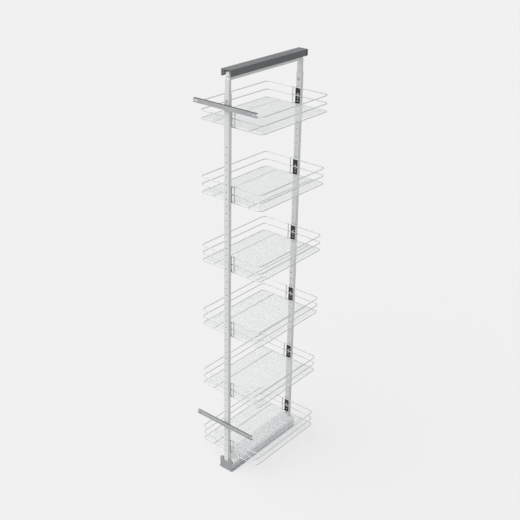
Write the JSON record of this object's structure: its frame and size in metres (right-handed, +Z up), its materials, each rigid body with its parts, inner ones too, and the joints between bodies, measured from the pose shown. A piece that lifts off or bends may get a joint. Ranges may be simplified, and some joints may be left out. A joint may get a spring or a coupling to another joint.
{
  "type": "pull-out larder unit",
  "caption": "Floor-running pull-out frame for a tall kitchen cabinet: telescopic ball runner, uprights with hole rows, wire baskets on clips, door brackets and a guided top rail",
  "frame": {"origin": "centre of the floor rail's underside, on the cabinet floor, under the middle of the frame", "axes": "+Z up, -Y towards the door (the pull-out direction), +X to the right of someone facing the door"},
  "size_m": [0.336, 0.506, 1.926],
  "materials": {
    "light_coat": "satin light grey powder coat",
    "white_coat": "satin white powder coat",
    "zinc_steel": "zinc plated sheet steel",
    "cast_zinc": "blasted zinc casting",
    "galvanised": "galvanised folded steel",
    "dark_rail": "satin anthracite powder coat",
    "plated_wire": "bright plated wire",
    "ball_steel": "polished ball",
    "screw_zinc": "zinc plated screw",
    "black_plastic": "fine-grained black moulding",
    "grey_plastic": "mid grey moulding",
    "nylon": "natural nylon"
  },
  "bodies": {
    "floor_fixed": {"floor_rail": "zinc_steel", "rear_stop": "black_plastic"},
    "middle_member": {"middle_runner": "zinc_steel"},
    "lower_ball_set": {"lower_cage": "zinc_steel", "lower_balls": "ball_steel"},
    "upper_ball_set": {"upper_cage": "zinc_steel", "upper_balls": "ball_steel"},
    "carriage": {"top_runner": "zinc_steel", "bottom_bar": "zinc_steel", "bar_screws": "screw_zinc", "front_plate": "cast_zinc", "runner_cover": "white_coat", "front_foot": "zinc_steel", "rear_foot": "zinc_steel", "foot_screws": "screw_zinc", "front_upright": "light_coat", "rear_upright": "light_coat", "lock_screws": "screw_zinc", "upper_door_bracket": "galvanised", "lower_door_bracket": "galvanised", "upper_bracket_holder": "grey_plastic", "lower_bracket_holder": "grey_plastic", "bracket_screws": "screw_zinc", "front_clip_1": "black_plastic", "front_clip_2": "black_plastic", "front_clip_3": "black_plastic", "front_clip_4": "black_plastic", "front_clip_5": "black_plastic", "front_clip_6": "black_plastic", "rear_clip_1": "black_plastic", "rear_clip_2": "black_plastic", "rear_clip_3": "black_plastic", "rear_clip_4": "black_plastic", "rear_clip_5": "black_plastic", "rear_clip_6": "black_plastic", "basket_1": "plated_wire", "basket_2": "plated_wire", "basket_3": "plated_wire", "basket_4": "plated_wire", "basket_5": "plated_wire", "basket_6": "plated_wire", "basket_mesh_1": "plated_wire", "basket_mesh_2": "plated_wire", "basket_mesh_3": "plated_wire", "basket_mesh_4": "plated_wire", "basket_mesh_5": "plated_wire", "basket_mesh_6": "plated_wire"},
    "telescope": {"upper_frame": "light_coat", "front_guide_block": "nylon", "rear_guide_block": "nylon", "roller_pins": "screw_zinc"},
    "front_wheel": {"front_roller": "nylon"},
    "rear_wheel": {"rear_roller": "nylon"},
    "top_guide": {"top_rail": "dark_rail", "rail_end_cap": "black_plastic"}
  },
  "joints": [
    {"name": "pull_out", "type": "slide", "parent": "floor_fixed", "child": "carriage", "axis": [0, -1, 0], "range_m": [0, 0.43]},
    {"name": "middle_slide", "type": "slide", "parent": "floor_fixed", "child": "middle_member", "axis": [0, -1, 0], "range_m": [0, 0.215]},
    {"name": "lower_balls_roll", "type": "slide", "parent": "floor_fixed", "child": "lower_ball_set", "axis": [0, -1, 0], "range_m": [0, 0.1075]},
    {"name": "upper_balls_roll", "type": "slide", "parent": "floor_fixed", "child": "upper_ball_set", "axis": [0, -1, 0], "range_m": [0, 0.3225]},
    {"name": "height_adjust", "type": "slide", "parent": "carriage", "child": "telescope", "axis": [0, 0, 1], "range_m": [-0.04, 0.1]},
    {"name": "top_rail_height", "type": "slide", "parent": "floor_fixed", "child": "top_guide", "axis": [0, 0, 1], "range_m": [-0.04, 0.1]},
    {"name": "front_roller_spin", "type": "hinge", "parent": "telescope", "child": "front_wheel", "pos_m": [0, -0.19, 1.9055], "axis": [0, 0, 1], "range_deg": [0, 1062]},
    {"name": "rear_roller_spin", "type": "hinge", "parent": "telescope", "child": "rear_wheel", "pos_m": [0, 0.19, 1.9055], "axis": [0, 0, 1], "range_deg": [0, 1062]}
  ],
  "couplings": [
    {"joint": "middle_slide", "follows": "pull_out", "ratio": 0.5},
    {"joint": "lower_balls_roll", "follows": "pull_out", "ratio": 0.25},
    {"joint": "upper_balls_roll", "follows": "pull_out", "ratio": 0.75},
    {"joint": "top_rail_height", "follows": "height_adjust", "ratio": 1},
    {"joint": "front_roller_spin", "follows": "pull_out", "rad_per_m": 43.103},
    {"joint": "rear_roller_spin", "follows": "pull_out", "rad_per_m": 43.103}
  ]
}
